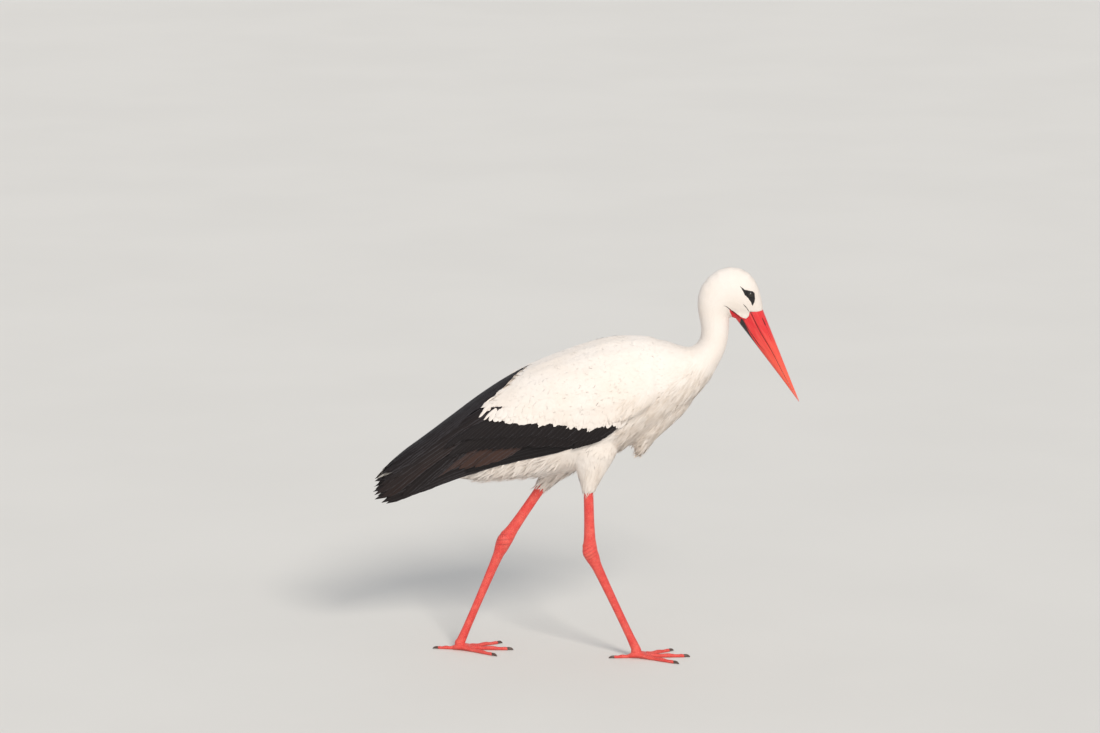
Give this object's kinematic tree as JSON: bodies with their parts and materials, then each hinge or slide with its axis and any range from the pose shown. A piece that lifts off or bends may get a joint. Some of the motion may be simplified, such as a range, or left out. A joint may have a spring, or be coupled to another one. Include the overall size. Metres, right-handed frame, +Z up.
{
  "type": "white stork",
  "caption": "Life-size still model of a white stork walking with its head lowered, wings folded, resting on its own feet.",
  "frame": {"origin": "on the floor, under the middle of the bird's bounding box", "axes": "+X the way the bird walks, +Z up, +Y to the bird's left"},
  "size_m": [0.791, 0.1968, 0.7344],
  "materials": {
    "plumage_white": "soft white feathers",
    "plumage_black": "black flight feathers with a dull sheen",
    "bill_horn": "smooth red horn",
    "leg_skin": "scaled red skin",
    "claw_horn": "dark blunt horn",
    "eye": "dark and wet"
  },
  "bodies": {
    "root": {"bill_lower": "bill_horn", "bill_upper": "bill_horn", "breast_plumes": "plumage_white", "claw_hind_left": "claw_horn", "claw_hind_right": "claw_horn", "claw_inner_left": "claw_horn", "claw_inner_right": "claw_horn", "claw_middle_left": "claw_horn", "claw_middle_right": "claw_horn", "claw_outer_left": "claw_horn", "claw_outer_right": "claw_horn", "coverts_left": "plumage_white", "coverts_right": "plumage_white", "eye_left": "eye", "eye_right": "eye", "flight_feathers_left": "plumage_black", "flight_feathers_right": "plumage_black", "foot_left": "leg_skin", "foot_right": "leg_skin", "greater_coverts_left": "plumage_black", "greater_coverts_right": "plumage_black", "head": "plumage_white", "neck_lower": "plumage_white", "neck_upper": "plumage_white", "shank_left": "leg_skin", "shank_right": "leg_skin", "tail": "plumage_white", "tarsus_left": "leg_skin", "tarsus_right": "leg_skin", "tertials_left": "plumage_black", "tertials_right": "plumage_black", "thigh_left": "plumage_white", "thigh_right": "plumage_white", "toe_hind_left": "leg_skin", "toe_hind_right": "leg_skin", "toe_inner_left": "leg_skin", "toe_inner_right": "leg_skin", "toe_middle_left": "leg_skin", "toe_middle_right": "leg_skin", "toe_outer_left": "leg_skin", "toe_outer_right": "leg_skin", "trunk": "plumage_white", "vent": "plumage_white"}
  },
  "joints": []
}
